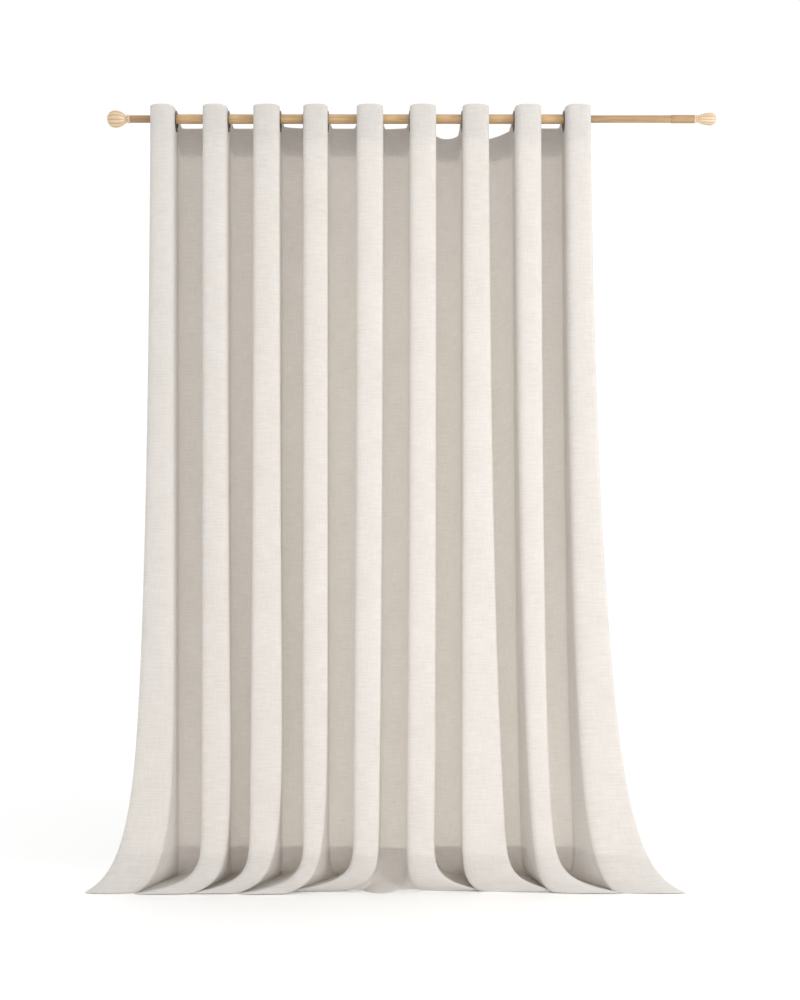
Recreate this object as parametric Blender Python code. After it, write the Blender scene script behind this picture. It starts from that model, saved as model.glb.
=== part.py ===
"""An eyelet-top curtain panel on an extending pole with two fluted finials.

Metres, +Z up. The origin is the middle of the pole's axis. The pole runs along X and the room is at -Y.
The cloth is one wave of front folds and back folds, with an eyelet for the pole in every flank between them.
"""
import math

import bmesh
import bpy
import numpy as np

# Pole: a middle tube, and an inner tube that slides out of each end of it
POLE_DIAMETER = 0.0254
POLE_START = -0.695
POLE_END = 0.470
POLE_HEIGHT = 2.050  # of its axis above the floor
INNER_DIAMETER = 0.0200
INNER_LENGTH = 0.600
INNER_REACH = 0.750  # from the pole's middle to the end of either inner tube
TUBE_WALL = 0.0010
BUSH_LENGTH = 0.015
END_SLEEVE_LENGTH = 0.060
END_SLEEVE_WALL = 0.0007
TUBE_SIDES = 20

# Cloth
FOLD_COUNT = 9
FIRST_FOLD_X = -0.6585
FOLD_PITCH = 0.1367
FOLD_WIDTH = 0.062  # between the two flanks of a front fold
FLANK_HALF = 0.030  # half the flat stretch that carries an eyelet
FRONT_BULGE = 0.022
BACK_BULGE = 0.013
HEADING_RISE = 0.028  # of the top edge over the pole's axis
HEADING_DEPTH = 0.093
STIFFENER_DEPTH = 0.080
BOTTOM_HEM = 0.100
SIDE_FLAP = 0.042  # cloth past the last flank at either side
SIDE_HEM = 0.022
CLOTH = 0.0008
STIFFENER = 0.0005
CLEARANCE = 0.0003
FLOOR_GAP = 0.001

# How far the top edge sags in each back fold
SAG = (0.041, 0.041, 0.041, 0.041, 0.041, 0.065, 0.065, 0.041)

# How each front fold strays from an even row, and how its two edges spread sideways near the floor:
# the flare grows over the lower half of the drop, and the kick over the last few centimetres.
FOLD_DRIFT = (0, 0.0025, 0.0035, -0.007, -0.0005, 0.0005, 0.003, 0.004, 0)
FLARE_LEFT = (-0.114, -0.006, -0.006, 0.004, -0.006, -0.005, 0.020, 0.055, 0.095)
FLARE_RIGHT = (-0.030, 0, -0.008, -0.008, -0.008, 0.008, 0.042, 0.045, 0.200)
KICK_LEFT = (-0.055, -0.150, -0.150, -0.150, -0.155, 0.050, 0.060, 0.085, 0.045)
KICK_RIGHT = (-0.058, -0.090, -0.085, -0.095, -0.090, 0.100, 0.110, 0.145, 0.045)
FLARE_FADE = 0.42
KICK_FADE = 0.035
BACK_SHARE = 0.2  # of the front folds' spread that the back folds follow
FLAP_SHARE = 0.8  # of the outer folds' spread that the side flaps follow
BACK_TRAIL = 0.080  # of the back folds towards the wall at the floor

# Eyelets
EYELET_HOLE = 0.020
EYELET_RIM = 0.028
EYELET_NECK = 0.0012
DOME = 0.0026
EYELET_SIDES = 10

# Finials
COLLAR_RADIUS = 0.0108
COLLAR_LENGTH = 0.005
SPIGOT_LENGTH = 0.025
STUD_RADIUS = 0.003
STUD_LENGTH = 0.014
NECK_LENGTH = 0.008
GROOVE_RADIUS = 0.0085
FLUTES = 12
FLUTE_DEPTH = 0.0012
# For each finial: its radius at the neck, at the belly, the knob's length, and how far along it the belly is
FINIALS = {"left": (0.0122, 0.0234, 0.056, 0.50), "right": (0.0105, 0.0172, 0.054, 0.64)}

POLE_RADIUS = POLE_DIAMETER / 2
BORE_RADIUS = POLE_RADIUS - TUBE_WALL
INNER_RADIUS = INNER_DIAMETER / 2
HEADING_BOTTOM = HEADING_RISE - HEADING_DEPTH
EYELET_FLAT = math.cos(math.pi / EYELET_SIDES)
EYELET_DROP = EYELET_HOLE * EYELET_FLAT - POLE_RADIUS - CLEARANCE
NECK_RADIUS = EYELET_HOLE + EYELET_NECK
CLOTH_HOLE = NECK_RADIUS + CLEARANCE / EYELET_FLAT
STIFFENER_FACE = CLOTH + CLEARANCE
FACING_FACE = STIFFENER_FACE + STIFFENER + CLEARANCE
HEADING_BACK = FACING_FACE + CLOTH
HEM_FACE = CLOTH + CLEARANCE
ROW_HEIGHTS = (POLE_HEIGHT + HEADING_BOTTOM, 1.20, 0.65, 0.30, BOTTOM_HEM, 0.045, 0.018, FLOOR_GAP)
SEAM_ROW = 1
HEM_ROW = 1 + ROW_HEIGHTS.index(BOTTOM_HEM)


def clear_scene():
    for obj in list(bpy.data.objects):
        bpy.data.objects.remove(obj)


def material(name, colour, roughness, metallic=0.0):
    made = bpy.data.materials.new(name)
    made.use_nodes = True
    shader = made.node_tree.nodes["Principled BSDF"]
    shader.inputs["Base Color"].default_value = (*colour, 1)
    shader.inputs["Roughness"].default_value = roughness
    shader.inputs["Metallic"].default_value = metallic
    return made


def assembly(name, at=(0, 0, 0)):
    """An empty that the pieces of one assembly hang from."""
    empty = bpy.data.objects.new(name, None)
    empty.location = at
    bpy.context.scene.collection.objects.link(empty)
    return empty


def finished(name, shape, look, parent, smooth_angle=None):
    """A scene object from a bmesh, its faces turned outwards."""
    bmesh.ops.recalc_face_normals(shape, faces=shape.faces)
    mesh = bpy.data.meshes.new(name)
    shape.to_mesh(mesh)
    shape.free()
    if smooth_angle:
        mesh.shade_smooth()
        mesh.set_sharp_from_angle(angle=smooth_angle)
    mesh.materials.append(look)
    obj = bpy.data.objects.new(name, mesh)
    bpy.context.scene.collection.objects.link(obj)
    obj.parent = parent
    return obj


# ---- Turned pieces ----


def add_turned(shape, profile, sides, facing=1, at=(0, 0, 0)):
    """Turns a profile of (along, radius) or (along, radius, flute depth) points about the X axis.

    A profile that starts and ends on the axis makes a solid, and any other one is closed into a ring.
    """
    solid = profile[0][1] == 0
    rings = []
    for along, radius, *flute in profile[1:-1] if solid else profile:
        ring = []
        for i in range(sides):
            turn = 2 * math.pi * i / sides
            r = radius - (flute[0] if flute and i % 2 else 0)
            place = (at[0] + facing * along, at[1] + r * math.cos(turn), at[2] + r * math.sin(turn))
            ring.append(shape.verts.new(place))
        rings.append(ring)
    pairs = list(zip(rings, rings[1:])) if solid else list(zip(rings, rings[1:] + rings[:1]))
    for ring, following in pairs:
        for i in range(sides):
            j = (i + 1) % sides
            shape.faces.new((ring[i], ring[j], following[j], following[i]))
    if solid:
        for ring, (along, *_) in ((rings[0], profile[0]), (rings[-1], profile[-1])):
            tip = shape.verts.new((at[0] + facing * along, at[1], at[2]))
            for i in range(sides):
                shape.faces.new((tip, ring[i], ring[(i + 1) % sides]))


def turned(name, profile, look, parent, sides=TUBE_SIDES, facing=1, at=(0, 0, 0)):
    shape = bmesh.new()
    add_turned(shape, profile, sides, facing, at)
    return finished(name, shape, look, parent, math.radians(35))


def tube_profile(start, end, outer, inner):
    return [(start, outer), (end, outer), (end, inner), (start, inner)]


def make_pole():
    pole = assembly("pole")
    outer = tube_profile(POLE_START, POLE_END, POLE_RADIUS, BORE_RADIUS)
    turned("rod_outer_tube", outer, WOOD_PRINT, pole)
    for side, facing, mouth in (("left", -1, -POLE_START), ("right", 1, POLE_END)):
        extension = assembly(f"extension_{side}", (facing * INNER_REACH, 0, 0))
        inner = tube_profile(-INNER_LENGTH, 0, INNER_RADIUS, INNER_RADIUS - TUBE_WALL)
        turned(f"rod_inner_tube_{side}", inner, WOOD_PRINT, extension, facing=facing)
        bush = tube_profile(mouth - BUSH_LENGTH, mouth, BORE_RADIUS - CLEARANCE, INNER_RADIUS + CLEARANCE)
        turned(f"guide_bush_{side}", bush, NYLON, pole, facing=facing)
        if side == "right":
            lining = INNER_RADIUS + CLEARANCE
            sleeve = tube_profile(-END_SLEEVE_LENGTH, 0, lining + END_SLEEVE_WALL, lining)
            turned("rod_end_sleeve", sleeve, WOOD_PRINT, extension, facing=facing)
        make_finial(side, facing)


def make_finial(side, facing):
    """A plug that pushes into the tube, and a fluted knob screwed on the plug's stud."""
    neck, belly, length, belly_share = FINIALS[side]
    finial = assembly(f"finial_{side}", (facing * (INNER_REACH + CLEARANCE), 0, 0))
    spigot = INNER_RADIUS - TUBE_WALL - CLEARANCE
    stud_end = COLLAR_LENGTH + STUD_LENGTH
    plug = [
        (-SPIGOT_LENGTH, 0), (-SPIGOT_LENGTH, spigot), (0, spigot), (0, COLLAR_RADIUS),
        (COLLAR_LENGTH, COLLAR_RADIUS), (COLLAR_LENGTH, STUD_RADIUS), (stud_end, STUD_RADIUS), (stud_end, 0),
    ]
    turned(f"finial_plug_{side}", plug, PALE_WOOD, finial, facing=facing)
    start = COLLAR_LENGTH + CLEARANCE
    hole = STUD_RADIUS + CLEARANCE
    floor = stud_end + 2 * CLEARANCE
    knob = [
        (floor, 0), (floor, hole), (start, hole), (start, neck),
        (start + NECK_LENGTH / 2, GROOVE_RADIUS), (start + NECK_LENGTH, neck),
    ]
    for share in (0.15, 0.32, belly_share, 0.82, 0.96):
        if share <= belly_share:
            r = neck + (belly - neck) * math.sin(math.pi / 2 * share / belly_share)
        else:
            r = belly * math.sqrt(1 - 0.85 * ((share - belly_share) / (1 - belly_share)) ** 2)
        knob.append((start + NECK_LENGTH + share * (length - NECK_LENGTH), r, FLUTE_DEPTH))
    knob.append((start + length, 0))
    turned(f"finial_knob_{side}", knob, PALE_WOOD, finial, sides=2 * FLUTES, facing=facing)


# ---- Cloth ----


def fold_x(k):
    return FIRST_FOLD_X + k * FOLD_PITCH + FOLD_DRIFT[k]


def spread(height, flare, kick):
    """How far a fold's edge stands to the side at a height, none of it in the heading."""
    flare_share = math.exp(-height / FLARE_FADE) - math.exp(-ROW_HEIGHTS[0] / FLARE_FADE)
    return flare * flare_share + kick * math.exp(-height / KICK_FADE)


def arc(start, end, bulge, steps):
    """The points between start and end on a circle's arc that stands out to the right by bulge."""
    start, end = np.array(start), np.array(end)
    chord = end - start
    half = np.linalg.norm(chord) / 2
    radius = (half**2 + bulge**2) / (2 * abs(bulge))
    along = chord / (2 * half)
    side = np.array((along[1], -along[0])) * np.sign(bulge)
    centre = (start + end) / 2 - side * (radius - abs(bulge))
    turns = math.asin(half / radius) * np.linspace(-1, 1, steps + 1)[1:-1]
    return [centre + radius * (math.sin(t) * along + math.cos(t) * side) for t in turns]


def outline(height):
    """The cloth's plan at a height, from its left edge to its right edge."""
    back_y = FLANK_HALF + BACK_TRAIL * math.exp(-height / KICK_FADE)
    last = FOLD_COUNT - 1
    points = []
    for k in range(FOLD_COUNT):
        left, right = fold_x(k) - FOLD_WIDTH / 2, fold_x(k) + FOLD_WIDTH / 2
        left_spread = spread(height, FLARE_LEFT[k], KICK_LEFT[k])
        right_spread = spread(height, FLARE_RIGHT[k], KICK_RIGHT[k])
        left_back = (left + (FLAP_SHARE if k == 0 else BACK_SHARE) * left_spread, back_y)
        right_back = (right + (FLAP_SHARE if k == last else BACK_SHARE) * right_spread, back_y)
        left_front = (left + left_spread, -FLANK_HALF)
        right_front = (right + right_spread, -FLANK_HALF)
        points += side_flap(left_back, 1)[::-1] if k == 0 else arc(points[-1], left_back, -BACK_BULGE, 3)
        front = arc(left_front, right_front, FRONT_BULGE, 3)
        points += [left_back, left_front, *front, right_front, right_back]
    points += side_flap(right_back, -1)
    return np.array(points)


def side_flap(corner, inwards):
    """The cloth past the last flank, which turns in behind the fold: the start of its hem, and its edge."""
    bend = np.array(corner) + (SIDE_FLAP - SIDE_HEM) * np.array((0.5 * inwards, math.sqrt(0.75)))
    return [bend, bend + SIDE_HEM * np.array((0.9 * inwards, math.sqrt(0.19)))]


def top_edge():
    """The top edge's height over the pole's axis at each column: level, with a sag in each back fold."""
    rise = [HEADING_RISE] * 2
    for k in range(FOLD_COUNT):
        rise += [HEADING_RISE] * 6
        rise += [HEADING_RISE - SAG[k]] * 2 if k < FOLD_COUNT - 1 else [HEADING_RISE] * 2
    return np.array(rise)


def cloth_grid():
    """The face of the cloth as rows of points, top row first."""
    rows = [np.column_stack((outline(ROW_HEIGHTS[0]), top_edge()))]
    for height in ROW_HEIGHTS:
        plan = outline(height)
        rows.append(np.column_stack((plan, np.full(len(plan), height - POLE_HEIGHT))))
    return np.array(rows)


def inward_steps(grid):
    """For each point, the step that moves all the faces around it one unit behind the face of the cloth."""
    down = grid[1:, :-1] + grid[1:, 1:] - grid[:-1, :-1] - grid[:-1, 1:]
    across = grid[:-1, 1:] + grid[1:, 1:] - grid[:-1, :-1] - grid[1:, :-1]
    normals = np.cross(down, across)
    normals /= np.linalg.norm(normals, axis=2, keepdims=True)
    steps = np.empty_like(grid)
    for r in range(grid.shape[0]):
        for c in range(grid.shape[1]):
            around = normals[max(r - 1, 0) : r + 1, max(c - 1, 0) : c + 1].reshape(-1, 3)
            steps[r, c] = np.linalg.lstsq(around, -np.ones(len(around)), rcond=0.05)[0]
    return steps


def trimmed(points):
    """The same patch with each border pulled in by the clearance."""
    points = points.copy()
    for _ in range(2):
        for edge, inner in ((0, 1), (-1, -2)):
            reach = points[inner] - points[edge]
            points[edge] += reach * CLEARANCE / np.linalg.norm(reach, axis=1, keepdims=True)
        points = points.swapaxes(0, 1)
    return points


def cloth_layer(name, look, parent, points, steps, near, far):
    """A closed sheet between two depths behind the face of the cloth."""
    shape = bmesh.new()
    rows, columns = points.shape[:2]
    face, back = (
        [[shape.verts.new(points[r, c] + steps[r, c] * depth) for c in range(columns)] for r in range(rows)]
        for depth in (near, far)
    )
    quads = []
    for side in (face, back):
        for r in range(rows - 1):
            for c in range(columns - 1):
                quads.append((side[r][c], side[r][c + 1], side[r + 1][c + 1], side[r + 1][c]))
    for r in (0, rows - 1):
        quads += [(face[r][c], face[r][c + 1], back[r][c + 1], back[r][c]) for c in range(columns - 1)]
    for c in (0, columns - 1):
        quads += [(face[r][c], face[r + 1][c], back[r + 1][c], back[r][c]) for r in range(rows - 1)]
    for a, b, c, d in quads:
        shape.faces.new((a, b, c))
        shape.faces.new((a, c, d))
    return finished(name, shape, look, parent)


def make_cloth(panel):
    grid = cloth_grid()
    steps = inward_steps(grid)
    cloth = cloth_layer("panel_cloth", LINEN, panel, grid, steps, 0, CLOTH)
    heading, heading_steps = grid[: SEAM_ROW + 1], steps[: SEAM_ROW + 1]
    facing = cloth_layer(
        "heading_facing", LINEN, panel, trimmed(heading), heading_steps, FACING_FACE, HEADING_BACK
    )
    share = STIFFENER_DEPTH / HEADING_DEPTH
    buckram = np.array((heading[0], heading[0] * (1 - share) + heading[1] * share))
    stiffener = cloth_layer(
        "heading_stiffener", BUCKRAM, panel, trimmed(buckram), heading_steps,
        STIFFENER_FACE, STIFFENER_FACE + STIFFENER,
    )
    punch_eyelet_holes((cloth, facing, stiffener))
    strips = {
        "bottom_hem": (slice(HEM_ROW, None), slice(1, -1)),
        "side_hem_left": (slice(SEAM_ROW, None), slice(0, 2)),
        "side_hem_right": (slice(SEAM_ROW, None), slice(-2, None)),
    }
    for name, patch in strips.items():
        cloth_layer(name, LINEN, panel, trimmed(grid[patch]), steps[patch], HEM_FACE, HEM_FACE + CLOTH)


# ---- Eyelets ----


def eyelet_places():
    """(x, direction along X that the face of the cloth looks) of each eyelet, from left to right."""
    return [(fold_x(k) + side * FOLD_WIDTH / 2, side) for k in range(FOLD_COUNT) for side in (-1, 1)]


def punch_eyelet_holes(layers):
    shape = bmesh.new()
    reach = 2 * HEADING_BACK
    for x, _ in eyelet_places():
        punch = [(-reach, 0), (-reach, CLOTH_HOLE), (reach, CLOTH_HOLE), (reach, 0)]
        add_turned(shape, punch, EYELET_SIDES, at=(x, 0, -EYELET_DROP))
    cutter = finished("eyelet_punch", shape, NYLON, None)
    cutter.hide_render = True
    cutter.display_type = "WIRE"
    for layer in layers:
        holes = layer.modifiers.new("eyelet_holes", "BOOLEAN")
        holes.operation = "DIFFERENCE"
        holes.object = cutter
        holes.solver = "EXACT"


def make_eyelets():
    """Each eyelet is a front ring whose neck goes through the heading, and a back ring over the neck."""
    front_face = -CLEARANCE
    back_face = HEADING_BACK + CLEARANCE
    neck_end = back_face + DOME
    bore = NECK_RADIUS + CLEARANCE / EYELET_FLAT
    crown = (EYELET_HOLE + EYELET_RIM) / 2
    front = [
        (neck_end, EYELET_HOLE), (front_face - DOME / 2, EYELET_HOLE), (front_face - DOME, crown),
        (front_face, EYELET_RIM), (front_face, NECK_RADIUS), (neck_end, NECK_RADIUS),
    ]
    back = [(back_face, bore), (back_face, EYELET_RIM), (neck_end, crown), (neck_end, bore)]
    for number, (x, side) in enumerate(eyelet_places(), start=1):
        eyelet = assembly(f"eyelet_{number:02d}", (x, 0, -EYELET_DROP))
        # Depth counts backwards from the face of the cloth, so it runs against the side that face looks to.
        turned(f"grommet_front_ring_{number:02d}", front, METAL, eyelet, EYELET_SIDES, -side)
        turned(f"grommet_back_ring_{number:02d}", back, METAL, eyelet, EYELET_SIDES, -side)


clear_scene()
LINEN = material("linen_cloth", (0.78, 0.73, 0.67), 0.92)
BUCKRAM = material("heading_buckram", (0.85, 0.84, 0.80), 0.9)
METAL = material("dark_bronze_eyelet", (0.10, 0.085, 0.075), 0.4, 0.9)
WOOD_PRINT = material("wood_effect_pole", (0.53, 0.36, 0.21), 0.5)
PALE_WOOD = material("pale_turned_wood", (0.66, 0.50, 0.35), 0.6)
NYLON = material("nylon_bush", (0.80, 0.78, 0.72), 0.5)
make_pole()
make_cloth(assembly("panel"))
make_eyelets()
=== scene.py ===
# %% [markdown]
# # An eyelet curtain on an extending pole
#
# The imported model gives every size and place. This file adds what the eye wants to see: a cloth that hangs
# in one long wave, eyelets with rolled rims, a wood-print pole and turned finials. Each step says what the
# piece is on the real curtain, how it could be made, and why it is made this way here.

# %% Load the frame
import math

import bmesh
import bpy
import numpy as np
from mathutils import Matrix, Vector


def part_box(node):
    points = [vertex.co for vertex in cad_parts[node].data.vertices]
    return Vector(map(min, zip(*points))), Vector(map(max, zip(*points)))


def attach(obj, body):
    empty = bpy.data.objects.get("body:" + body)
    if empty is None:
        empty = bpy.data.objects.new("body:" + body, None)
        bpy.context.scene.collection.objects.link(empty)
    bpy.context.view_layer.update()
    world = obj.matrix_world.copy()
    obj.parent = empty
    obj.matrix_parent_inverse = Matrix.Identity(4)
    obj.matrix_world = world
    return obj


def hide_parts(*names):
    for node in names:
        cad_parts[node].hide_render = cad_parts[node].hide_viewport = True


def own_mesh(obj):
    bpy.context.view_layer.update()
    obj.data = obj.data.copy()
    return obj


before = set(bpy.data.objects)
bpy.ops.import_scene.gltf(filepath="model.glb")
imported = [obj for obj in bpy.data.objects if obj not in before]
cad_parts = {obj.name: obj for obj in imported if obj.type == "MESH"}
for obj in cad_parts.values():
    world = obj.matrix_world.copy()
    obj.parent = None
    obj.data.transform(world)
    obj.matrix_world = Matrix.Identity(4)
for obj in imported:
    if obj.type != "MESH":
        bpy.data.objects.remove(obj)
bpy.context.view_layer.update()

# %% [markdown]
# ## The camera
#
# The curtain is seen square on, from about the middle of its drop. The camera is level, so the folds stand
# upright. In an upright format Blender measures the sensor along its long side.

# %% Camera
FLOOR_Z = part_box("panel_cloth")[0].z - 0.001
EYE_HEIGHT = 1.037
EYE_X = -0.032
EYE_DISTANCE = 4.0

camera = bpy.data.objects.new("camera", bpy.data.cameras.new("camera"))
camera.data.lens = 54.1
camera.location = (EYE_X, -EYE_DISTANCE, FLOOR_Z + EYE_HEIGHT)
camera.rotation_euler = (math.radians(90), 0, 0)
bpy.context.scene.collection.objects.link(camera)
bpy.context.scene.camera = camera
print("camera at", tuple(round(v, 3) for v in camera.location))

# %% [markdown]
# ## Writing materials as sums
#
# A material is a little machine of nodes. Wiring it by hand takes many lines, so two small classes do it. A
# `Wire` is one socket: adding or multiplying wires adds the Math nodes for it. A `Finish` is a material in
# the making, and its `node` method adds any other node: settings first, then the sockets.

# %% Wires and finishes
class Wire:
    """A socket of a finish. Arithmetic on the numbers that it carries adds Math nodes."""

    def __init__(self, finish, socket):
        self.finish = finish
        self.socket = socket

    def math(self, operation, first, second=0.0):
        return self.finish.node("ShaderNodeMath", {"operation": operation}, {0: first, 1: second})

    def __add__(self, other):
        return self.math("ADD", self, other)

    def __radd__(self, other):
        return self.math("ADD", other, self)

    def __sub__(self, other):
        return self.math("SUBTRACT", self, other)

    def __rsub__(self, other):
        return self.math("SUBTRACT", other, self)

    def __mul__(self, other):
        return self.math("MULTIPLY", self, other)

    def __rmul__(self, other):
        return self.math("MULTIPLY", other, self)

    def __pow__(self, other):
        return self.math("POWER", self, other)

    def sine(self):
        return self.math("SINE", self)

    def clamped(self):
        return self.finish.node("ShaderNodeClamp", {}, {"Value": self})


class Finish:
    """A material in the making, with one Principled shader."""

    def __init__(self, name, **shader_values):
        self.material = bpy.data.materials.new(name)
        self.material.use_nodes = True
        self.tree = self.material.node_tree
        self.shader = self.tree.nodes["Principled BSDF"]
        for socket, value in shader_values.items():
            self.plug(self.shader.inputs[socket.replace("_", " ")], value)

    def plug(self, socket, value):
        if isinstance(value, Wire):
            self.tree.links.new(value.socket, socket)
        else:
            socket.default_value = value

    def node(self, kind, settings, inputs, output=0):
        made = self.tree.nodes.new(kind)
        for name, value in settings.items():
            if name == "stops":
                self.set_stops(made.color_ramp, value)
            else:
                setattr(made, name, value)
        for name, value in inputs.items():
            self.plug(made.inputs[name], value)
        return Wire(self, made.outputs[output])

    def set_stops(self, ramp, stops):
        while len(ramp.elements) < len(stops):
            ramp.elements.new(0.5)
        for element, (place, level) in zip(ramp.elements, stops):
            element.position = place
            element.color = (level, level, level, 1)

    def mix(self, share, first, second):
        """A colour between two: first where share is 0, second where it is 1."""
        return self.node("ShaderNodeMix", {"data_type": "RGBA"}, {0: share, 6: first, 7: second}, 2)

    def stretch(self, place, *scale):
        """A place, scaled along each axis, so that a pattern on it gets longer or finer."""
        return self.node("ShaderNodeVectorMath", {"operation": "MULTIPLY"}, {0: place, 1: scale})

    def noise(self, place, scale, detail=2.0, roughness=0.5):
        inputs = {"Vector": place, "Scale": scale, "Detail": detail, "Roughness": roughness}
        return self.node("ShaderNodeTexNoise", {}, inputs)

    def set(self, **sockets):
        for socket, value in sockets.items():
            self.plug(self.shader.inputs[socket.replace("_", " ")], value)

    def bump(self, height, distance, strength=1.0, normal=None):
        inputs = {"Height": height, "Distance": distance, "Strength": strength}
        if normal:
            inputs["Normal"] = normal
        return self.node("ShaderNodeBump", {}, inputs)


def rgba(red, green, blue):
    return (red, green, blue, 1)


print("wires ready")

# %% [markdown]
# ## Linen-look cloth
#
# The cloth is a plain weave of uneven yarns. Up close it shows the grid of yarns; from across a room it
# shows slubs: thick places in a yarn, long along the yarn and thin across it. Both patterns are laid out in
# metres on the cloth itself, with its UV map, so they follow every fold. The slubs are stretched noise,
# once along the weft and once along the warp. A Translucent shader lets some light through, as thin cloth
# does.

# %% Linen finish
YARN_PITCH = 0.0011
SLUB_LENGTH = 24.0
SLUB_WIDTH = 300.0


def linen_finish(name, light, shade, glow_through):
    finish = Finish(name, Roughness=0.9, Sheen_Weight=0.12, Sheen_Roughness=0.5, Specular_IOR_Level=0.2)
    place = finish.node("ShaderNodeUVMap", {"uv_map": "cloth"}, {})
    weft = finish.noise(finish.stretch(place, SLUB_LENGTH, SLUB_WIDTH, 1), 1.0, 3.0, 0.6)
    warp = finish.noise(finish.stretch(place, SLUB_WIDTH, SLUB_LENGTH, 1), 1.0, 3.0, 0.6)
    cloud = finish.noise(place, 9.0, 3.0)
    along = finish.node("ShaderNodeSeparateXYZ", {}, {0: place}, 0)
    down = Wire(finish, along.socket.node.outputs[1])
    turns = 2 * math.pi / YARN_PITCH
    yarns = (along * turns).sine() * (down * turns).sine() * 0.5 + 0.5
    slubs = weft * 0.62 + warp * 0.38
    contrast = finish.node("ShaderNodeValToRGB", {"stops": ((0.36, 0.0), (0.62, 1.0))}, {0: slubs})
    tone = (contrast * 0.55 + cloud * 0.35 + yarns * 0.10).clamped()
    colour = finish.mix(tone, shade, light)
    height = slubs * 0.7 + yarns * 0.3
    finish.set(Base_Color=colour, Roughness=0.96 - slubs * 0.12, Normal=finish.bump(height, 0.0006, 0.55))
    back_light = finish.node("ShaderNodeBsdfTranslucent", {}, {"Color": rgba(0.865, 0.815, 0.755)})
    lit = finish.node(
        "ShaderNodeMixShader", {}, {0: glow_through, 1: Wire(finish, finish.shader.outputs[0]), 2: back_light}
    )
    finish.plug(finish.tree.nodes["Material Output"].inputs["Surface"], lit)
    return finish.material


LINEN = linen_finish("linen", rgba(0.87, 0.853, 0.833), rgba(0.65, 0.625, 0.592), 0.36)
LINEN_INSIDE = linen_finish("linen_turning", rgba(0.84, 0.82, 0.80), rgba(0.63, 0.605, 0.575), 0.60)
print("linen:", len(LINEN.node_tree.nodes), "nodes")

# %% [markdown]
# ## The plan of the wave
#
# An eyelet curtain hangs in one wave. Seen from above it has a flat flank wherever the pole passes through,
# and a rounded lobe between two flanks, to the front and to the back by turns. So each front fold has four
# corners, and a column of the cloth lies on the line between two corners, pushed out by the lobe's bulge.
# Where the corners go with the height is all that shapes the curtain, which keeps the drape easy to steer.

# %% Fold sizes from the frame
FOLDS = 9
RING_BOXES = [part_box(f"grommet_front_ring_{n:02d}") for n in range(1, 2 * FOLDS + 1)]
NECK_BOXES = [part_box(f"grommet_back_ring_{n:02d}") for n in range(1, 2 * FOLDS + 1)]
# The front ring's dome is on the side away from the back ring, and the cloth's face touches its inside.
RING_SIDES = [1 if a[0].x + a[1].x > b[0].x + b[1].x else -1 for a, b in zip(RING_BOXES, NECK_BOXES)]
DOME = 0.0026
CLEARANCE = 0.0003
FLANK_X = [
    (box[1].x - DOME - CLEARANCE) if side > 0 else (box[0].x + DOME + CLEARANCE)
    for box, side in zip(RING_BOXES, RING_SIDES)
]
RING_Z = (RING_BOXES[0][0].z + RING_BOXES[0][1].z) / 2
HEADING_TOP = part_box("panel_cloth")[1].z
FLANK = 0.030
FRONT_BULGE = 0.022
BACK_BULGE = 0.0135
DROP = HEADING_TOP - FLOOR_Z
print("flanks at", [round(x, 3) for x in FLANK_X])

# %% [markdown]
# ## Where the folds go on their way down
#
# No fold hangs quite plumb. Three exponential curves of the height steer each corner: a slow lean over the
# whole drop, a flare from the knee down, and a quick sweep over the floor, because the panel is a little
# longer than the drop. The front folds sweep outwards from the middle of the curtain. The back folds close
# to a crease, and there each fold's hem slides under its neighbour's. The numbers are how far a corner has
# moved at the floor. The numbers of the front corners came from a least-squares fit of these three curves
# to measured fold edges, made by a separate script, and some were then changed by hand. The back corners
# were set one by one.

# %% Sweep of each corner
LEAN = {
    "left_back": (-0.050, 0, 0, 0, -0.006, -0.006, 0, 0.030, 0.040),
    "left_front": (-0.065, -0.004, -0.012, -0.003, -0.016, -0.013, -0.005, 0.054, 0.066),
    "right_front": (0, 0.020, 0.016, 0.001, -0.015, -0.005, 0.052, 0.033, 0.137),
    "right_back": (0, 0, 0, 0, -0.006, -0.006, 0.030, 0.030, 0.100),
}
FLARE = {
    "left_back": (-0.065, 0, 0, 0, 0, 0, 0, 0, 0),
    "left_front": (-0.085, 0, 0, 0.010, 0.015, 0.004, 0.008, 0.012, 0.048),
    "right_front": (-0.071, -0.040, -0.060, -0.041, 0.002, -0.008, 0, 0.031, 0.079),
    "right_back": (-0.004, 0, 0, 0, 0, 0, 0, 0.005, 0.060),
}
SWEEP = {
    "left_back": (-0.020, -0.092, -0.078, -0.073, -0.051, -0.030, 0.008, 0.016, -0.034),
    "left_front": (-0.027, -0.171, -0.152, -0.176, -0.187, 0.033, 0.042, 0.034, 0.018),
    "right_front": (-0.020, -0.060, -0.054, -0.062, -0.090, 0.139, 0.132, 0.143, 0.037),
    "right_back": (-0.004, 0.004, -0.003, 0.032, -0.040, 0.0956, 0.1017, 0.052, 0.020),
}
CORNERS = tuple(LEAN)
BENDS = ((LEAN, 0.8), (FLARE, 0.12), (SWEEP, 0.028))  # each with the height that it fades over
FORWARD = (0, -0.010, -0.004, -0.010, 0.022, 0.025, 0.012, -0.002, -0.002)  # of each front fold's hem, in Y
BACK_TRAIL = 0.040
MIDDLE_TRAIL = -0.040  # the two back corners in the middle of the curtain come forward instead
MIDDLE_CORNERS = ((4, "right_back"), (5, "left_back"))
TRAIL_FADE = 0.030
HEADING_DEPTH = 0.093
KNEE = DROP - HEADING_DEPTH


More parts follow.
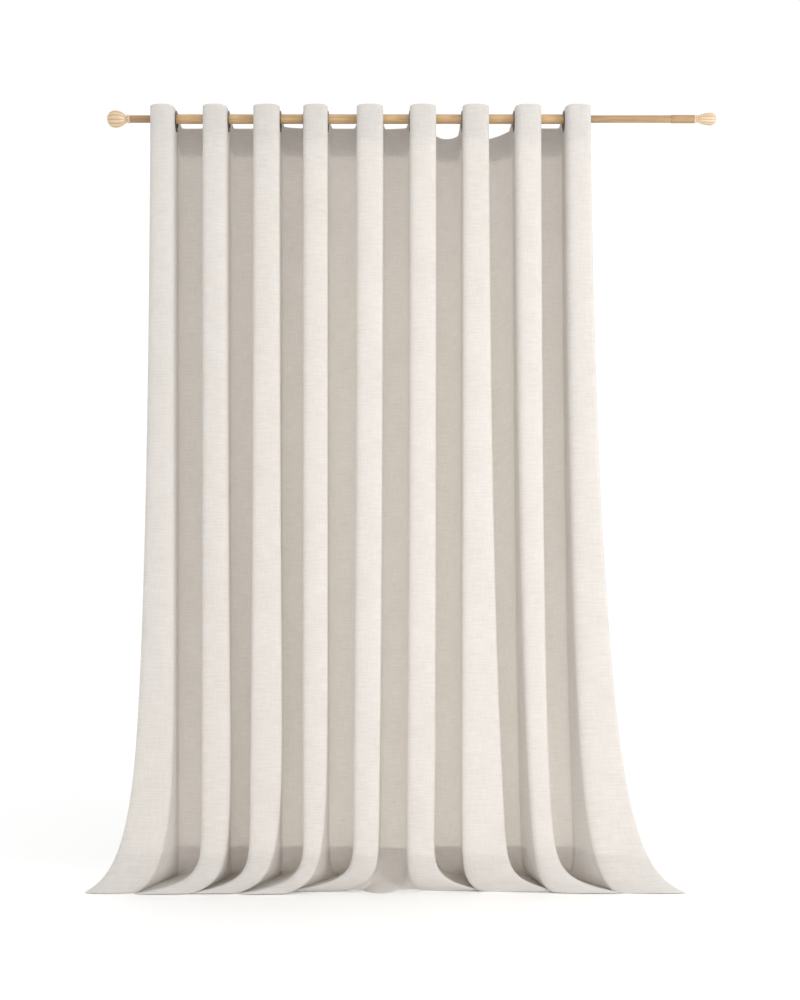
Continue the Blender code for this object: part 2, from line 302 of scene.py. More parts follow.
def fold_corners(height):
    """The four corners of each fold in plan, for every height in an array: (heights, 9 * 4, 2)."""
    places = np.empty((len(height), FOLDS * 4, 2))
    for fold in range(FOLDS):
        for c, corner in enumerate(CORNERS):
            x = FLANK_X[2 * fold + (0 if "left" in corner else 1)] * np.ones(len(height))
            for moves, fade in BENDS:
                x += moves[corner][fold] * np.maximum(np.exp(-height / fade) - math.exp(-KNEE / fade), 0)
            places[:, 4 * fold + c, 0] = x
            trail = MIDDLE_TRAIL if (fold, corner) in MIDDLE_CORNERS else BACK_TRAIL
            near_floor = np.exp(-height / TRAIL_FADE)
            if "back" in corner:
                places[:, 4 * fold + c, 1] = FLANK + trail * near_floor
            else:
                places[:, 4 * fold + c, 1] = FORWARD[fold] * near_floor - FLANK
    return places


print("corners at the floor:", np.round(fold_corners(np.array([0.0]))[0, :4, 0], 3))

# %% [markdown]
# ## Columns across the cloth
#
# Every column is described once: the two corners that it lies between, how far along, and how much of the
# lobe's bulge it gets. A superellipse gives a lobe that leaves the flank without a kink. Its power sets how
# square it is. A front lobe can swell past its flanks, as a stiffened heading does: then its curve runs on
# past the half turn.

# %% Columns
FLANK_STEPS = 12
LOBE_STEPS = 18
FRONT_POWER = 2.7
BACK_POWER = 3.0
FLAP = 0.52  # of a back lobe, for the cloth past the last flank
FOLD_WIDTH = FLANK_X[1] - FLANK_X[0]
# How far each front fold swells past its left and its right flank
SWELLS = (
    (0.001, 0), (0.002, 0), (0.006, 0.001), (0.001, 0.002), (0.003, 0.005),
    (0.001, 0.007), (0.001, 0.007), (0, 0.007), (0, 0.005),
)


def power_of(value, power):
    return math.copysign(abs(value) ** (2 / power), value)


def lobe(first, second, bulge, power, start=0.0, end=1.0, swells=(0, 0)):
    """Columns along a lobe, between its corners: (first corner, second corner, share, bulge)."""
    columns = []
    reaches = [1 + 2 * swell / FOLD_WIDTH for swell in swells]
    extra = [math.acos(1 / reach) for reach in reaches]
    for turn in np.linspace(start, end, max(3, round(LOBE_STEPS * (end - start))) + 1)[1:-1]:
        angle = -extra[0] + turn * (math.pi + sum(extra))
        left = angle < math.pi / 2
        sunk = power_of(math.sin(extra[0] if left else extra[1]), power)
        across = power_of(math.cos(angle), power) * reaches[0 if left else 1]
        out = (power_of(math.sin(angle), power) + sunk) / (1 + sunk)
        columns.append((first, second, (1 - across) / 2, bulge * out))
    return columns


def flank(first, second):
    return [(first, second, share, 0.0) for share in np.linspace(0, 1, FLANK_STEPS + 1)]


def wave_columns():
    left_edge, right_edge = FOLDS * 4, FOLDS * 4 + 1
    columns = lobe(left_edge, 0, -BACK_BULGE, BACK_POWER, 1 - FLAP, 1.0)
    for fold in range(FOLDS):
        a, b, c, d = range(4 * fold, 4 * fold + 4)
        if fold:
            columns += lobe(a - 1, a, BACK_BULGE, BACK_POWER)
        front = lobe(b, c, -FRONT_BULGE, FRONT_POWER, swells=SWELLS[fold])
        columns += flank(a, b) + front + flank(c, d)
    return columns + lobe(4 * FOLDS - 1, right_edge, -BACK_BULGE, BACK_POWER, 0.0, FLAP)


COLUMNS = wave_columns()
print(len(COLUMNS), "columns")

# %% [markdown]
# ## The sag of the heading
#
# Between two flanks the heading has nothing to hang from, so its edge sags in every back fold, and two of
# them have slipped further. The edge also dips a little at the flanks, which rounds the tops of the front
# folds. All of it is a vertical shift that fades downwards over a hand's breadth.

# %% Heading sag
# For each back fold: how deep its edge sags at its left and right end, and how much deeper it smiles between
BACK_SAGS = (
    (0.0425, 0.0425, 0), (0.0425, 0.0425, 0), (0.0380, 0.0425, 0), (0.0425, 0.0425, 0),
    (0.0450, 0.0410, 0), (0.0580, 0.0560, 0.014), (0.0730, 0.0440, 0.004), (0.0420, 0.0420, 0),
)
SAG_RAMP = 0.12  # the share of a back fold's width that each end takes to come down
SAG_FADE = 0.16
EDGE_DIP = 0.0050  # of the edge at the flanks, below the middle of a front fold


def ramp(share):
    share = np.clip(share, 0, 1)
    return share * share * (3 - 2 * share)


def column_sag(column):
    first, _, share, bulge = column
    if first % 4 == 1 and first < 4 * FOLDS:
        return EDGE_DIP * (1 - min(1.0, abs(bulge) / FRONT_BULGE) ** 2)
    if bulge <= 0 or first // 4 >= len(BACK_SAGS):
        return EDGE_DIP
    left, right, smile = BACK_SAGS[first // 4]
    depth = left + (right - left) * share + smile * 4 * share * (1 - share)
    return EDGE_DIP + (depth - EDGE_DIP) * float(ramp(share / SAG_RAMP) * ramp((1 - share) / SAG_RAMP))


SAGS = np.array([column_sag(column) for column in COLUMNS])
print("deepest sag", round(float(SAGS.max()), 3))

# %% [markdown]
# ## The surface of the cloth
#
# A grid of points joins the columns to a row of heights. The rows are close together at the heading and at
# the hem, where the cloth bends most, and far apart in the plain drop. Each point keeps how far it lies
# along and down the cloth in metres: that is the UV map that the weave is drawn on.

# %% Surface
HEADING_ZONE = 0.17
HEADING_ROW = 0.005
DROP_ROW = 0.022
HEM_ZONE = 0.12
HEM_ROWS = 30
LOWEST_ROW = 0.0012
HEM_LIFT = 0.0020
LAP_LIFT = 0.019  # of the two hems that meet at a back crease
LAP_OVER = 0.0015  # between them, as one lies over the other
LIFT_FADE = 0.05
LOBE_GAP = FLANK_X[2] - FLANK_X[1]
PUDDLE_LOBE = 4  # the back fold in the middle, which lies forward on the floor
PUDDLE_CORNER = 4 * PUDDLE_LOBE + 3  # where that back fold starts
FLATTEN_FADE = 0.04  # of its bulge, which goes flat at the floor
PUDDLE_REACH = 0.030
PUDDLE_FADE = 0.010


def row_heights():
    """Heights above the floor, from the heading down."""
    heading = np.arange(DROP, DROP - HEADING_ZONE, -HEADING_ROW)
    hem = np.geomspace(HEM_ZONE, LOWEST_ROW, HEM_ROWS)
    drop = np.linspace(heading[-1], hem[0], round((heading[-1] - hem[0]) / DROP_ROW))
    return np.concatenate((heading, drop[1:-1], hem, [0.0]))


def corner_lifts():
    """How high the hem lies over the floor at each corner. The fold on the inner side lies on top."""
    lifts = np.full(4 * FOLDS + 2, HEM_LIFT)
    for fold in range(FOLDS):
        for valley, near, corner in ((fold - 1, fold, 0), (fold, fold, 3)):
            if valley in (-1, PUDDLE_LOBE, FOLDS - 1):
                continue
            over = (valley < PUDDLE_LOBE) == (corner == 3)
            lifts[4 * near + corner] += LAP_LIFT + LAP_OVER * over
            lifts[4 * near + (2 if corner == 3 else 1)] += LAP_OVER * over
    return lifts


def cloth_points(heights):
    corners = fold_corners(heights)
    inwards = np.array((LOBE_GAP, 0.0))
    corners = np.concatenate((corners, corners[:, :1] + inwards, corners[:, -1:] - inwards), axis=1)
    first, second, share, bulge = (np.array(part) for part in zip(*COLUMNS))
    start, along = corners[:, first], corners[:, second] - corners[:, first]
    chord = np.linalg.norm(along, axis=2, keepdims=True)
    opened = chord / chord[:1]
    outwards = np.stack((-along[..., 1], along[..., 0]), axis=2) / chord
    flattened = 1 - (first == PUDDLE_CORNER) * np.exp(-heights / FLATTEN_FADE)[:, None]
    reach = bulge[:, None] * np.where(opened > 1, opened**-0.5, opened) * flattened[..., None]
    plan = start + along * share[:, None] + outwards * reach
    height = heights[:, None]
    lifts = corner_lifts()
    along_hem = np.clip(share, 0, 1)
    lift = (lifts[first] * (1 - along_hem) + lifts[second] * along_hem) * np.exp(-height / LIFT_FADE)
    z = FLOOR_Z + height + lift - SAGS * np.exp(-(DROP - height) / SAG_FADE)
    puddle = (first == PUDDLE_CORNER) * np.sin(np.pi * along_hem) ** 0.7
    plan[..., 1] -= PUDDLE_REACH * puddle * np.exp(-height / PUDDLE_FADE)
    return np.concatenate((plan, z[..., None]), axis=2)


HEIGHTS = row_heights()
SURFACE = cloth_points(HEIGHTS)
print("cloth grid", SURFACE.shape[:2])

# %% [markdown]
# ## Sheets with a thickness
#
# Cloth is thin but not without thickness: its edges catch light. A sheet here is a patch of the grid at two
# depths behind the face, with walls along every free edge, holes included. So one function makes the face,
# the heading's lining and the hems, each closed, at its own depth.

# %% Closed sheets
HOLE_RADIUS = 0.0235
FLANK_REACH = 0.004  # a quad this near a flank's place along the pole belongs to that flank
CLOTH_THICKNESS = 0.0008


def outward_normals(points):
    across = np.gradient(points, axis=1)
    down = np.gradient(points, axis=0)
    normals = np.cross(down, across)
    return normals / np.linalg.norm(normals, axis=2, keepdims=True)


def cloth_places(points):
    """How far along and down the cloth each point lies, in metres."""
    across = np.linalg.norm(np.diff(points[:1], axis=1), axis=2).cumsum(axis=1)
    along = np.concatenate((np.zeros((1, 1)), across), axis=1).repeat(len(points), axis=0)
    steps = np.linalg.norm(np.diff(points, axis=0), axis=2).cumsum(axis=0)
    down = np.concatenate((np.zeros((1, points.shape[1])), steps))
    return np.stack((along, down), axis=2)


def open_eyelets(points):
    """Which quads of the grid are cloth. The points around each hole move onto its circle."""
    middles = (points[:-1, :-1] + points[1:, 1:]) / 2
    cloth = np.ones(middles.shape[:2], bool)
    for x in FLANK_X:
        centre = np.array((x, 0.0, RING_Z))
        near_flank = np.abs(middles[..., 0] - x) < FLANK_REACH
        inside = near_flank & (np.linalg.norm(middles - centre, axis=2) < HOLE_RADIUS)
        cloth &= ~inside
        corners = np.zeros(points.shape[:2], int)
        for down, right in ((0, 0), (0, 1), (1, 0), (1, 1)):
            corners[down : down + inside.shape[0], right : right + inside.shape[1]] += inside
        rim = (corners > 0) & (corners < 4)
        spoke = points[rim] - centre
        spoke[:, 0] = 0
        points[rim] = centre + spoke * HOLE_RADIUS / np.linalg.norm(spoke, axis=1, keepdims=True)
    return cloth


NORMALS = outward_normals(SURFACE)
CLOTH_QUADS = open_eyelets(SURFACE)
PLACES = cloth_places(SURFACE)
print("cloth is", round(float(PLACES[0, -1, 0]), 3), "m wide along its wave")


# %% Build one sheet
def sheet_piece(name, rows, columns, near, far, finish):
    """A closed sheet over a patch of the grid, between two depths behind the face of the cloth."""
    points, normals, places = SURFACE[rows, columns], NORMALS[rows, columns], PLACES[rows, columns]
    height, width = points.shape[:2]
    count = height * width
    vertices = np.concatenate([(points - normals * depth).reshape(-1, 3) for depth in (near, far)])
    index = np.arange(count).reshape(height, width)
    quads = np.stack((index[:-1, :-1], index[1:, :-1], index[1:, 1:], index[:-1, 1:]), axis=2)
    quads = quads[CLOTH_QUADS[rows, columns][: height - 1, : width - 1]]
    edges = np.concatenate([quads[:, [i, (i + 1) % 4]] for i in range(4)])
    keys = np.sort(edges, axis=1) @ (count, 1)
    _, first, uses = np.unique(keys, return_index=True, return_counts=True)
    rim = edges[first[uses == 1]]
    walls = np.stack((rim[:, 1], rim[:, 0], rim[:, 0] + count, rim[:, 1] + count), axis=1)
    faces = np.concatenate((quads, quads[:, ::-1] + count, walls))
    mesh = bpy.data.meshes.new(name)
    mesh.from_pydata(vertices.tolist(), [], faces.tolist())
    loops = np.empty(len(mesh.loops), np.int32)
    mesh.loops.foreach_get("vertex_index", loops)
    flat_places = np.concatenate((places.reshape(-1, 2),) * 2)
    mesh.uv_layers.new(name="cloth").uv.foreach_set("vector", flat_places[loops].astype(np.float32).ravel())
    return placed(name, mesh, finish, 50)


def placed(name, mesh, finish, sharp_angle):
    """Puts a mesh in the scene: smooth, except at edges sharper than the angle."""
    mesh.validate()
    mesh.shade_smooth()
    mesh.set_sharp_from_angle(angle=math.radians(sharp_angle))
    mesh.materials.append(finish)
    obj = bpy.data.objects.new(name, mesh)
    bpy.context.scene.collection.objects.link(obj)
    return obj


print("sheets ready")

# %% [markdown]
# ## The panel, its heading and its hems
#
# A made-up curtain is one wide cloth with turned edges: a heading stiffened with buckram and faced behind,
# a deep bottom hem and narrow side hems. The layers lie behind each other with a hair's gap. All of them
# gather together when the eyelets run up along the pole; here each hangs from the panel's body.

# %% Panel and layers
LAYER_GAP = 0.0003
STIFFENER_THICKNESS = 0.0005
HEM_DEPTH = 0.100
SIDE_HEM = 0.022


def hangs(piece, node):
    """The piece hangs with the panel and hides the CAD node that it replaces, if there is one."""
    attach(piece, "panel")
    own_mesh(piece)
    if node:
        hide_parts(node)
    print(piece.name, len(piece.data.polygons), "faces")
    return piece


def row_at(height):
    return int(np.argmin(np.abs(HEIGHTS - height)))


SEAM_ROW = row_at(DROP - HEADING_DEPTH)
HEM_ROW = row_at(HEM_DEPTH)
EDGE_COLUMNS = int(np.searchsorted(PLACES[0, :, 0], SIDE_HEM))
LAST_ROW, LAST_COLUMN = SURFACE.shape[0], SURFACE.shape[1]
everything = slice(None)
behind = CLOTH_THICKNESS + LAYER_GAP
facing_depth = behind + STIFFENER_THICKNESS + LAYER_GAP

panel = sheet_piece("curtain_panel", everything, everything, 0, CLOTH_THICKNESS, LINEN)
stiffener = sheet_piece(
    "buckram_stiffener", slice(1, SEAM_ROW - 2), slice(1, -1),
    behind, behind + STIFFENER_THICKNESS, LINEN_INSIDE,
)
turning = sheet_piece(
    "heading_turning", slice(0, SEAM_ROW + 1), everything,
    facing_depth, facing_depth + CLOTH_THICKNESS, LINEN_INSIDE,
)
bottom_hem = sheet_piece(
    "bottom_hem_turning", slice(HEM_ROW, LAST_ROW), slice(EDGE_COLUMNS + 1, -EDGE_COLUMNS - 1),
    behind, behind + CLOTH_THICKNESS, LINEN_INSIDE,
)
left_hem = sheet_piece(
    "left_side_turning", slice(SEAM_ROW + 1, LAST_ROW), slice(0, EDGE_COLUMNS + 1),
    behind, behind + CLOTH_THICKNESS, LINEN_INSIDE,
)
right_hem = sheet_piece(
    "right_side_turning", slice(SEAM_ROW + 1, LAST_ROW), slice(LAST_COLUMN - EDGE_COLUMNS - 1, LAST_COLUMN),
    behind, behind + CLOTH_THICKNESS, LINEN_INSIDE,
)
hangs(panel, "panel_cloth")
hangs(stiffener, "heading_stiffener")
hangs(turning, "heading_facing")
hangs(bottom_hem, "bottom_hem")
hangs(left_hem, "side_hem_left")
hangs(right_hem, "side_hem_right")

# %% [markdown]
# ## Turned pieces
#
# The pole's tubes, the eyelets and the finials are all round, so each is a profile turned about an axis, as
# on a lathe. The profile is a list of (along, radius) points; arcs in it are computed. A profile that
# starts and ends on the axis closes into a solid, and any other closes into a ring.

# %% Lathe
def turned(name, profile, finish, origin, facing=1, sides=64, flute=None):
    """Turns a profile about the X axis. flute(point, turn) is how much a point is cut in at an angle."""
    solid = profile[0][1] == 0
    body = profile[1:-1] if solid else profile
    turns = np.arange(sides) * 2 * math.pi / sides
    vertices = []
    for number, (along, radius) in enumerate(body):
        for turn in turns:
            r = radius - (flute(number, turn) if flute else 0)
            vertices.append((facing * along, r * math.cos(turn), r * math.sin(turn)))
    rings = len(body)
    faces = []
    for ring in range(rings - 1 if solid else rings):
        a, b = ring * sides, (ring + 1) % rings * sides
        faces += [(a + i, a + (i + 1) % sides, b + (i + 1) % sides, b + i) for i in range(sides)]
    if solid:
        for ring, end in ((0, profile[0]), (rings - 1, profile[-1])):
            tip = len(vertices)
            vertices.append((facing * end[0], 0, 0))
            faces += [(tip, ring * sides + i, ring * sides + (i + 1) % sides) for i in range(sides)]
    mesh = bpy.data.meshes.new(name)
    mesh.from_pydata(vertices, [], faces)
    shape = bmesh.new()
    shape.from_mesh(mesh)
    bmesh.ops.recalc_face_normals(shape, faces=shape.faces)
    shape.to_mesh(mesh)
    shape.free()
    obj = placed(name, mesh, finish, 40)
    obj.location = origin
    return obj


def bend(centre, deep, wide, start, end, steps=8):
    """Points of an elliptical arc in a profile, from one angle to another in degrees."""
    angles = np.radians(np.linspace(start, end, steps + 1))
    return [(centre[0] + deep * math.cos(a), centre[1] + wide * math.sin(a)) for a in angles]


print("lathe ready")

# %% [markdown]
# ## Metal, wood and plastic
#
# The pole is a steel tube with a printed wood grain under lacquer. The print has long pale and dark streaks
# along the tube, so it is noise stretched along X. The finials are real wood in a paler stain, with a finer
# and softer grain, and their flutes are coloured darker. The end tubes get a darker copy of the same print:
# painted shade, as the key lamp lights them more than the middle tube, which the folds shade. The eyelets are
# pressed metal in a dark bronze finish, rubbed a little brighter in places.

# %% Hard finishes
def object_place(finish):
    return finish.node("ShaderNodeTexCoord", {}, {}, 3)


def wood_finish(name, light, dark, streak, fibre, depth, roughness, flutes=0):
    """A grain along X. streak and fibre are how fine the broad and the narrow lines are, per metre."""
    finish = Finish(name, Specular_IOR_Level=0.45, Coat_Weight=0.15, Coat_Roughness=0.3)
    place = object_place(finish)
    broad = finish.noise(finish.stretch(place, streak / 14, streak, streak), 1.0, 3.0, 0.55)
    lines = (broad * 26.0).sine() * 0.5 + 0.5
    fine = finish.noise(finish.stretch(place, fibre / 30, fibre, fibre), 1.0, 4.0, 0.7)
    grain = (lines * 0.35 + fine * 0.9 - 0.12).clamped()
    colour = finish.mix(grain, dark, light)
    if flutes:
        # The flutes are coloured darker. They run along X, so the angle round X finds them.
        across = finish.node("ShaderNodeSeparateXYZ", {}, {0: place}, 1)
        up = Wire(finish, across.socket.node.outputs[2])
        turn = across.math("ARCTAN2", up, across)
        groove = (0.5 - (turn * flutes + math.pi / 2).sine() * 0.5) ** 5.0
        colour = finish.mix(groove * 0.75, colour, rgba(0.30, 0.20, 0.11))
    bump = finish.bump(fine, depth, 0.5)
    finish.set(Base_Color=colour, Roughness=roughness + fine * 0.2, Normal=bump)
    return finish.material


def bronze_finish():
    finish = Finish("dark_bronze", Metallic=0.85, Specular_IOR_Level=0.5)
    place = object_place(finish)
    rubbed = finish.noise(place, 60.0, 4.0, 0.6)
    worn = finish.node("ShaderNodeValToRGB", {"stops": ((0.45, 0.0), (0.75, 1.0))}, {0: rubbed})
    finish.set(Base_Color=finish.mix(worn, rgba(0.10, 0.085, 0.07), rgba(0.22, 0.18, 0.14)))
    finish.set(Roughness=0.42 - worn * 0.14, Normal=finish.bump(rubbed, 0.0003, 0.3))
    return finish.material


def nylon_finish():
    finish = Finish("nylon", Specular_IOR_Level=0.4)
    cloud = finish.noise(object_place(finish), 35.0, 2.0)
    finish.set(Base_Color=finish.mix(cloud, rgba(0.66, 0.64, 0.58), rgba(0.78, 0.76, 0.70)))
    finish.set(Roughness=0.42 + cloud * 0.15)
    return finish.material


PRINT_GRAIN = {"streak": 70.0, "fibre": 600.0, "depth": 0.0001, "roughness": 0.34}
TURNED_GRAIN = {"streak": 45.0, "fibre": 420.0, "depth": 0.0003, "roughness": 0.45}
FLUTES = 12
WOOD_PRINT = wood_finish("wood_print", rgba(0.70, 0.47, 0.24), rgba(0.38, 0.23, 0.11), **PRINT_GRAIN)
# A darker copy of the same print as painted shade: the key lamp lights the end tubes more than the middle
# one.
SHADED_END_PRINT = wood_finish("end_tube_painted_shade_print", rgba(0.48, 0.32, 0.17), rgba(0.26, 0.15, 0.07), **PRINT_GRAIN)
PALE_WOOD = wood_finish("pale_wood", rgba(0.74, 0.57, 0.38), rgba(0.52, 0.35, 0.19), **TURNED_GRAIN)
FLUTED_WOOD = wood_finish(
    "fluted_wood", rgba(0.78, 0.62, 0.44), rgba(0.56, 0.40, 0.24), **TURNED_GRAIN, flutes=FLUTES
)
BRONZE = bronze_finish()
NYLON = nylon_finish()
print("hard finishes ready")

# %% [markdown]
# ## The eyelets
#
# Each eyelet is two pressed rings. The front one has a domed rim and a neck that goes through the cloth;
# the back one is a domed washer that the neck is pressed over. One profile of each serves all eighteen
# flanks.

# %% Eyelets
EYELET_HOLE = 0.020
EYELET_RIM = 0.028
NECK_RADIUS = 0.0212
FRONT_FACE = -CLEARANCE
BACK_FACE = 0.0030
NECK_END = BACK_FACE + DOME
CROWN = (EYELET_HOLE + EYELET_RIM) / 2
RIM_HALF = (EYELET_RIM - EYELET_HOLE) / 2
NECK_GAP = 0.0004  # that leaves the back ring's hole clear of the neck
NECK_CHAMFER = 0.0004
BACK_CROWN = (EYELET_RIM + NECK_RADIUS + NECK_GAP) / 2

FRONT_PROFILE = [
    *bend((FRONT_FACE, CROWN), DOME, RIM_HALF, 90, 270, 12),
    (NECK_END - NECK_CHAMFER, EYELET_HOLE),
    (NECK_END, EYELET_HOLE + NECK_CHAMFER),
    (NECK_END, NECK_RADIUS),
    (FRONT_FACE, NECK_RADIUS),
]
BACK_PROFILE = [
    *bend((BACK_FACE, BACK_CROWN), DOME, EYELET_RIM - BACK_CROWN, 90, -90, 12),
]


def eyelet_ring(name, node, profile, number):
    side = RING_SIDES[number - 1]
    origin = (FLANK_X[number - 1], 0, RING_Z)
    ring = turned(f"{name}_{number:02d}", profile, BRONZE, origin, -side, 72)
    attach(ring, "panel" if number == 1 else f"grommet_{number:02d}")
    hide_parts(f"{node}_{number:02d}")


for number in range(1, 2 * FOLDS + 1):
    eyelet_ring("eyelet_front", "grommet_front_ring", FRONT_PROFILE, number)
    eyelet_ring("eyelet_back", "grommet_back_ring", BACK_PROFILE, number)
print("eyelets hang at", round(RING_Z, 4), "with", len(FRONT_PROFILE), "points in the front profile")

# %% [markdown]
# ## The pole
#
# A middle tube, and an inner tube that slides out of each end through a nylon bush. Every tube end is
# rounded over a little, as a deburred tube is. A short sleeve makes the end of the right tube a little
# thicker.

# %% Pole
LIP = 0.0004


def tube(name, node, body, finish, sides=96):
    """A tube that takes its ends and its outside from the CAD node, with rounded lips."""
    low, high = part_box(node)
    outer = (high.y - low.y) / 2
    middle = ((low.x + high.x) / 2, 0, 0)
    half = (high.x - low.x) / 2
    inner = outer - TUBE_WALLS[node]
    steps = np.linspace(-half + LIP, half - LIP, 12)
    profile = [
        *bend((-half + LIP, outer - LIP), LIP, LIP, 180, 90, 4),
        *[(x, outer) for x in steps[1:-1]],
        *bend((half - LIP, outer - LIP), LIP, LIP, 90, 0, 4),
        (half, inner),
        *[(x, inner) for x in steps[-2:0:-1]],
        (-half, inner),
    ]
    piece = turned(name, profile, finish, middle, 1, sides)
    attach(piece, body)
    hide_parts(node)
    print(name, round(2 * outer, 4), "m across,", round(2 * half, 3), "m long")
    return piece


TUBE_WALLS = {
    "rod_outer_tube": 0.0010, "rod_inner_tube_left": 0.0010, "rod_inner_tube_right": 0.0010,
    "rod_end_sleeve": 0.0007, "guide_bush_left": 0.0012, "guide_bush_right": 0.0012,
}
pole = tube("pole_middle_tube", "rod_outer_tube", "pole", WOOD_PRINT)
tube("pole_left_tube", "rod_inner_tube_left", "extension_left", SHADED_END_PRINT)
tube("pole_right_tube", "rod_inner_tube_right", "extension_right", SHADED_END_PRINT)
tube("pole_right_sleeve", "rod_end_sleeve", "extension_right", SHADED_END_PRINT)
tube("left_bush", "guide_bush_left", "pole", NYLON)
tube("right_bush", "guide_bush_right", "pole", NYLON)

# %% [markdown]
# ## The finials
#
# Two turned knobs that don't match: a round ball at the left and a slimmer bud at the right. Each has a
# collar against the tube, a grooved neck and shallow flutes along the body. A knob is a turned profile
# whose radius is cut in by a wave round the axis, strongest at the belly.

# %% Finials
FLUTE_DEPTH = 0.0012
COLLAR_RADIUS = 0.0108
COLLAR_LENGTH = 0.005
NECK_LENGTH = 0.008
GROOVE_RADIUS = 0.0085
STUD_RADIUS = 0.003
STUD_END = 0.019
SPIGOT_RADIUS = 0.0087
SPIGOT_LENGTH = 0.025
SPIGOT_CHAMFER = 0.001
COLLAR_ROUND = 0.0006
KNOB_ROUND = 0.0012
TUBE_END = 0.750
# For each finial: its radius at the neck, at the belly, the knob's length, and how far along it the belly is
KNOBS = {"left": (0.0122, 0.0234, 0.056, 0.50), "right": (0.0105, 0.0172, 0.054, 0.64)}


def knob_body(neck, belly, length, belly_share, steps=40):
    """The outside of a knob past its neck, as (along, radius) points up to the tip."""
    points = []
    for turn in np.linspace(0, math.pi, steps + 1)[1:]:
        share = (1 - math.cos(turn)) / 2
        if share <= belly_share:
            r = neck + (belly - neck) * math.sin(math.pi / 2 * share / belly_share) ** 0.9
        else:
            r = belly * math.sqrt(max(0.0, 1 - ((share - belly_share) / (1 - belly_share)) ** 2.2))
        points.append((NECK_LENGTH + share * (length - NECK_LENGTH), r))
    return points


def fluted_by(profile, belly):
    """How deep the flutes cut at a point of the profile: none at the neck, all of it at the belly."""

    def depth(number, turn):
        along, radius = profile[number + 1]
        if along < KNOB_START + NECK_LENGTH:
            return 0.0
        return FLUTE_DEPTH * (radius / belly) ** 3 * (1 - math.cos(FLUTES * turn)) / 2

    return depth


KNOB_START = COLLAR_LENGTH + CLEARANCE
shoulder = COLLAR_RADIUS - COLLAR_ROUND
for side, facing in (("left", -1), ("right", 1)):
    neck, belly, length, belly_share = KNOBS[side]
    origin = (facing * (TUBE_END + CLEARANCE), 0, 0)
    hole_end = STUD_END + 2 * CLEARANCE
    bore = STUD_RADIUS + CLEARANCE
    profile = [
        (hole_end, 0), (hole_end, bore), (KNOB_START, bore),
        *bend((KNOB_START + KNOB_ROUND, neck - KNOB_ROUND), KNOB_ROUND, KNOB_ROUND, 180, 90, 4),
        *bend(
            (KNOB_START + NECK_LENGTH / 2, neck),
            NECK_LENGTH / 2 - KNOB_ROUND, neck - GROOVE_RADIUS, 180, 360, 12,
        ),
        *[(KNOB_START + along, radius) for along, radius in knob_body(neck, belly, length, belly_share)],
    ]
    profile[-1] = (profile[-1][0], 0)
    flutes = fluted_by(profile, belly)
    knob = turned(f"{side}_finial_knob", profile, FLUTED_WOOD, origin, facing, 144, flutes)
    plug = turned(
        f"{side}_finial_plug",
        [
            (-SPIGOT_LENGTH, 0),
            (-SPIGOT_LENGTH, SPIGOT_RADIUS - SPIGOT_CHAMFER),
            (-SPIGOT_LENGTH + SPIGOT_CHAMFER, SPIGOT_RADIUS),
            (0, SPIGOT_RADIUS), (0, shoulder),
            *bend((COLLAR_ROUND, shoulder), COLLAR_ROUND, COLLAR_ROUND, 180, 90, 4),
            *bend((COLLAR_LENGTH - COLLAR_ROUND, shoulder), COLLAR_ROUND, COLLAR_ROUND, 90, 0, 4),
            (COLLAR_LENGTH, STUD_RADIUS), (STUD_END, STUD_RADIUS), (STUD_END, 0),
        ],
        PALE_WOOD, origin, facing, 96,
    )
    for piece, part in ((knob, "knob"), (plug, "plug")):
        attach(piece, f"finial_{side}")
        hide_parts(f"finial_{part}_{side}")
    print(side, "finial", round(2 * belly, 4), "m across,", round(length, 3), "m long")

# %% [markdown]
# ## Stitching
#
# The turned edges are sewn with a straight stitch: one line under the heading, one over the bottom hem and
# one down each side. Each stitch is a short thread that lies a hair proud of the cloth and dips at its
# ends.

# %% Stitching
STITCH_PITCH = 0.0034
STITCH_LENGTH = 0.0027
STITCH_WIDTH = 0.00055
STITCH_HEIGHT = 0.00035


def stitch_line(points, normals):
    """Stitches along a line on the cloth, as (vertices, faces)."""
    steps = np.linalg.norm(np.diff(points, axis=0), axis=1)
    reach = np.concatenate(([0], steps.cumsum()))
    middles = np.arange(STITCH_PITCH, reach[-1] - STITCH_PITCH, STITCH_PITCH)

    def at(values, places):
        return np.column_stack([np.interp(places, reach, values[:, i]) for i in range(3)])

    centre, up = at(points, middles), at(normals, middles)
    start, end = at(points, middles - STITCH_LENGTH / 2), at(points, middles + STITCH_LENGTH / 2)
    along = (end - start) / np.linalg.norm(end - start, axis=1, keepdims=True)
    across = np.cross(up, along) * STITCH_WIDTH / 2
    lifted = up * STITCH_HEIGHT
    shape = np.stack((start, end, centre + across, centre + lifted, centre - across, centre - lifted), axis=1)
    pattern = np.array(
        [(0, 2, 3), (0, 3, 4), (0, 4, 5), (0, 5, 2), (1, 3, 2), (1, 4, 3), (1, 5, 4), (1, 2, 5)]
    )
    faces = pattern + 6 * np.arange(len(middles))[:, None, None]
    return shape.reshape(-1, 3), faces.reshape(-1, 3)


def stitching():
    vertices, faces = [], []
    for rows, columns in (
        (SEAM_ROW - 1, everything), (HEM_ROW + 1, everything),
        (slice(SEAM_ROW, HEM_ROW), EDGE_COLUMNS - 1), (slice(SEAM_ROW, HEM_ROW), LAST_COLUMN - EDGE_COLUMNS),
    ):
        points, corners = stitch_line(SURFACE[rows, columns], NORMALS[rows, columns])
        faces.append(corners + sum(len(found) for found in vertices))
        vertices.append(points)
    vertices, faces = np.concatenate(vertices), np.concatenate(faces)
    mesh = bpy.data.meshes.new("stitching")
    mesh.from_pydata(vertices.tolist(), [], faces.tolist())
    mesh.uv_layers.new(name="cloth")
    loops = np.empty(len(mesh.loops), np.int32)
    mesh.loops.foreach_get("vertex_index", loops)
    flat_places = vertices[loops][:, [0, 2]].astype(np.float32)
    mesh.uv_layers["cloth"].uv.foreach_set("vector", flat_places.ravel())
    return placed("stitching", mesh, LINEN_INSIDE, 60)


stitches = hangs(stitching(), None)

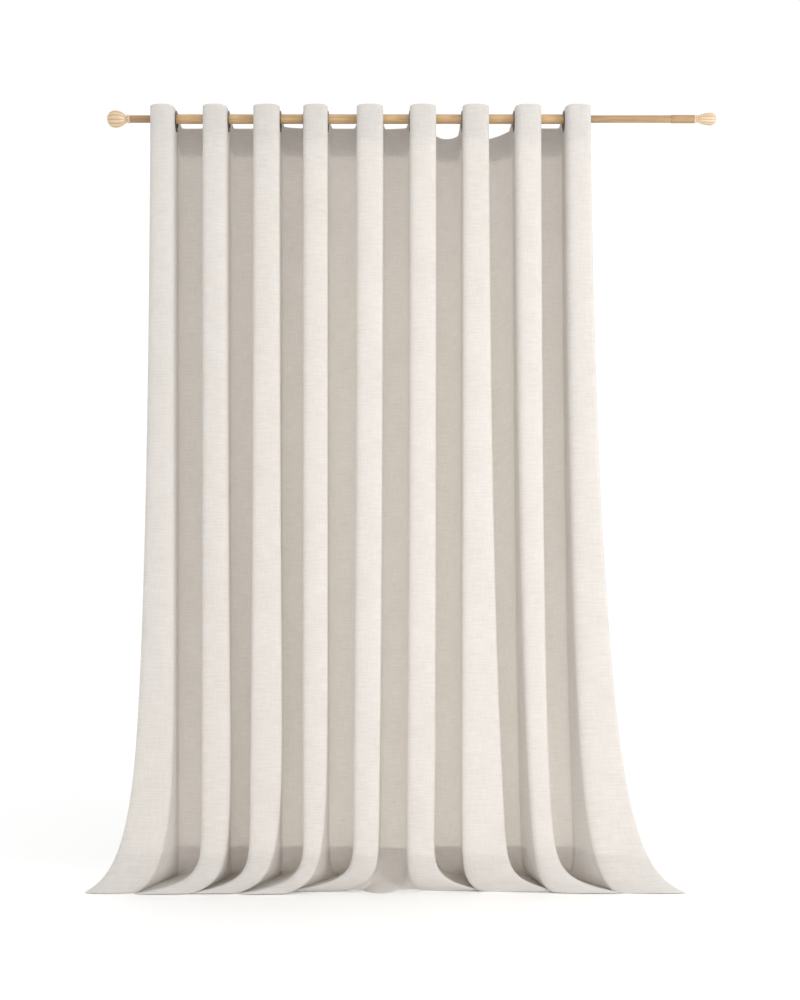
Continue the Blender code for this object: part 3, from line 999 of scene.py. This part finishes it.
# %% [markdown]
# ## Floor and light
#
# A plain pale floor with no wall, lit by a large soft lamp from the front right and by an even sky. The
# folds shade each other, and that is what draws them. A weaker lamp stands close behind the middle of the
# curtain, where a window would be, so that the thin cloth glows a little there. Two low lamps, one in front
# of the hem and one behind it, lighten the foot of the back folds.

# %% Floor
def floor_plane(size):
    mesh = bpy.data.meshes.new("floor")
    corners = [(-size, -size, 0), (size, -size, 0), (size, size, 0), (-size, size, 0)]
    mesh.from_pydata(corners, [], [(0, 1, 2, 3)])
    finish = Finish("floor_paint")
    cloud = finish.noise(object_place(finish), 1.5, 2.0)
    finish.set(Base_Color=finish.mix(cloud, rgba(0.95, 0.95, 0.95), rgba(0.97, 0.97, 0.97)), Roughness=0.85)
    mesh.materials.append(finish.material)
    floor = bpy.data.objects.new("floor", mesh)
    floor.location = (0, 0, FLOOR_Z)
    bpy.context.scene.collection.objects.link(floor)
    return floor


floor_plane(30.0)
print("floor at", round(FLOOR_Z, 3))


# %% Light
def soft_lamp(name, place, aim, size, power):
    lamp = bpy.data.lights.new(name, "AREA")
    lamp.shape = "RECTANGLE"
    lamp.size, lamp.size_y = size
    lamp.energy = power
    lamp.color = (1.0, 0.985, 0.965)
    obj = bpy.data.objects.new(name, lamp)
    obj.location = place
    toward = np.array(aim) - np.array(place)
    flat = math.hypot(toward[0], toward[1])
    obj.rotation_euler = (math.atan2(flat, -toward[2]), 0, math.atan2(-toward[0], toward[1]))
    bpy.context.scene.collection.objects.link(obj)
    return obj


MIDDLE_Z = FLOOR_Z + 1.0
soft_lamp("key", (3.4, -2.9, FLOOR_Z + 2.2), (0, 0, MIDDLE_Z), (1.2, 1.2), 83.0)
soft_lamp("window", (0.02, 0.38, FLOOR_Z + 1.01), (0.02, 0, FLOOR_Z + 1.01), (0.86, 1.62), 3.4)
soft_lamp("low_window", (0.0, 0.40, FLOOR_Z + 0.16), (0, 0, FLOOR_Z + 0.10), (1.2, 0.28), 1.0)
soft_lamp("low", (0.0, -2.4, FLOOR_Z + 0.30), (0, 0, FLOOR_Z + 0.10), (2.6, 0.35), 3.0)
world = bpy.data.worlds.new("studio")
bpy.context.scene.world = world
world.use_nodes = True
world.node_tree.nodes["Background"].inputs["Color"].default_value = rgba(1, 1, 1)
world.node_tree.nodes["Background"].inputs["Strength"].default_value = 1.06
bpy.context.scene.view_settings.view_transform = "Standard"
print("light ready")
